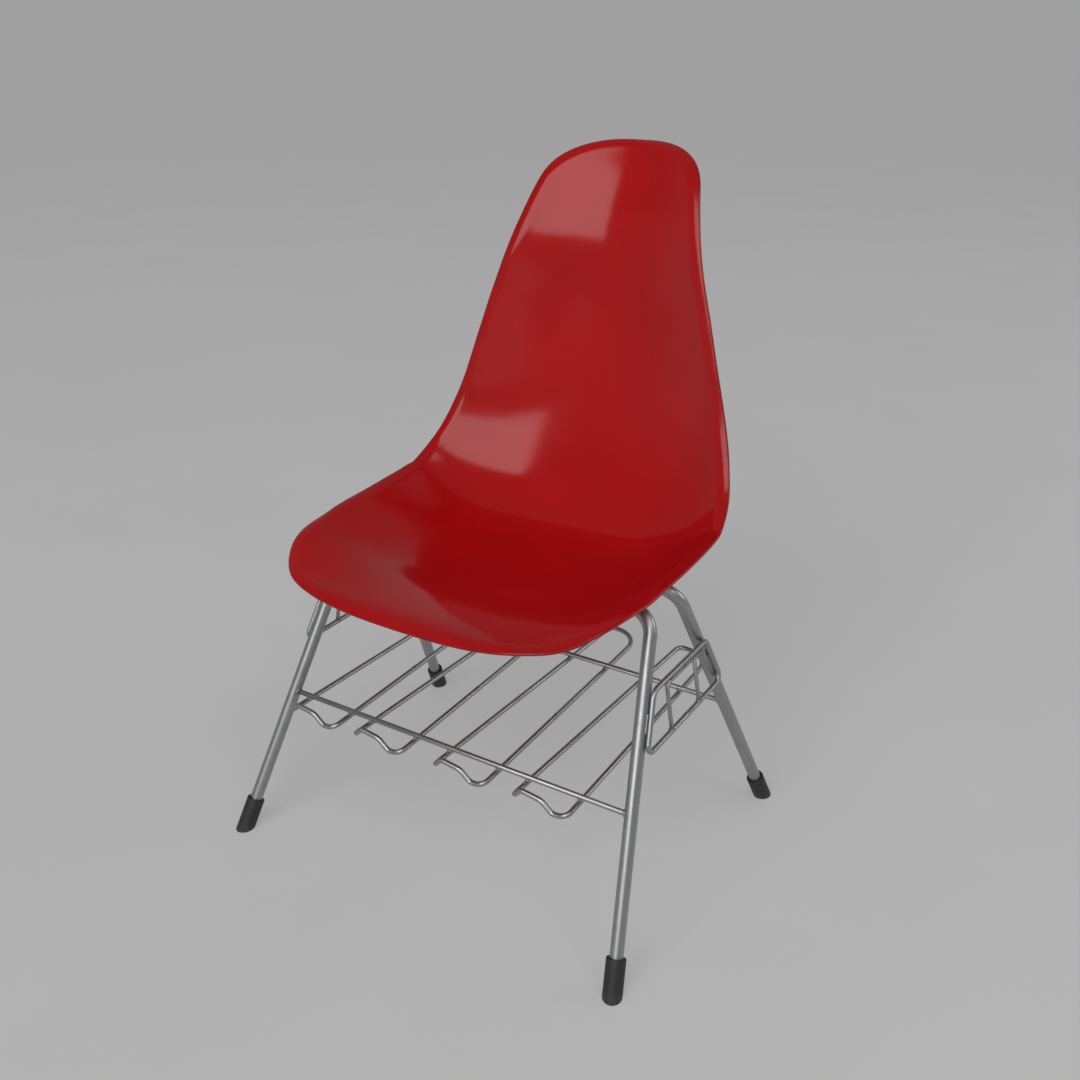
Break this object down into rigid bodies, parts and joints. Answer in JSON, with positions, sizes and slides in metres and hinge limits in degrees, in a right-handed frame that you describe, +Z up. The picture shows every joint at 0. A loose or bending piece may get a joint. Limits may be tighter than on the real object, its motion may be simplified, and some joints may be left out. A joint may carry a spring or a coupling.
{
  "type": "student desk chair",
  "caption": "Glossy moulded bucket seat on splayed steel tube legs, with a wire book rack below, wire ganging loops at the sides and rubber boots.",
  "frame": {"origin": "on the floor, under the middle of the chair's bounding box", "axes": "+Z up, +X to the right seen from the front, -Y towards the front edge of the seat"},
  "size_m": [0.5726, 0.5536, 0.8338],
  "materials": {
    "seat_plastic": "deep red, glossy, with a very fine moulded orange-peel",
    "frame_steel": "satin grey zinc plate",
    "boot_rubber": "dull black",
    "mount_rubber": "dull black",
    "fastener_steel": "bright zinc plate"
  },
  "bodies": {
    "root": {"seat_shell": "seat_plastic", "front_leg_frame": "frame_steel", "rear_leg_frame": "frame_steel", "foot_boot_front_left": "boot_rubber", "foot_boot_front_right": "boot_rubber", "foot_boot_rear_left": "boot_rubber", "foot_boot_rear_right": "boot_rubber", "foot_disc_front_left": "fastener_steel", "foot_disc_front_right": "fastener_steel", "foot_disc_rear_left": "fastener_steel", "foot_disc_rear_right": "fastener_steel", "rack_front_bar": "frame_steel", "rack_rear_bar": "frame_steel", "rack_loop_1": "frame_steel", "rack_loop_2": "frame_steel", "rack_loop_3": "frame_steel", "rack_loop_4": "frame_steel", "ganging_loop_left": "frame_steel", "ganging_stay_left": "frame_steel", "ganging_post_left": "frame_steel", "ganging_loop_right": "frame_steel", "ganging_stay_right": "frame_steel", "ganging_post_right": "frame_steel", "mount_strap_left": "frame_steel", "mount_strap_right": "frame_steel", "shock_mount_front_left": "mount_rubber", "mount_insert_front_left": "fastener_steel", "mount_washer_front_left": "fastener_steel", "mount_bolt_front_left": "fastener_steel", "shock_mount_front_right": "mount_rubber", "mount_insert_front_right": "fastener_steel", "mount_washer_front_right": "fastener_steel", "mount_bolt_front_right": "fastener_steel", "shock_mount_rear_left": "mount_rubber", "mount_insert_rear_left": "fastener_steel", "mount_washer_rear_left": "fastener_steel", "mount_bolt_rear_left": "fastener_steel", "shock_mount_rear_right": "mount_rubber", "mount_insert_rear_right": "fastener_steel", "mount_washer_rear_right": "fastener_steel", "mount_bolt_rear_right": "fastener_steel"}
  },
  "joints": []
}
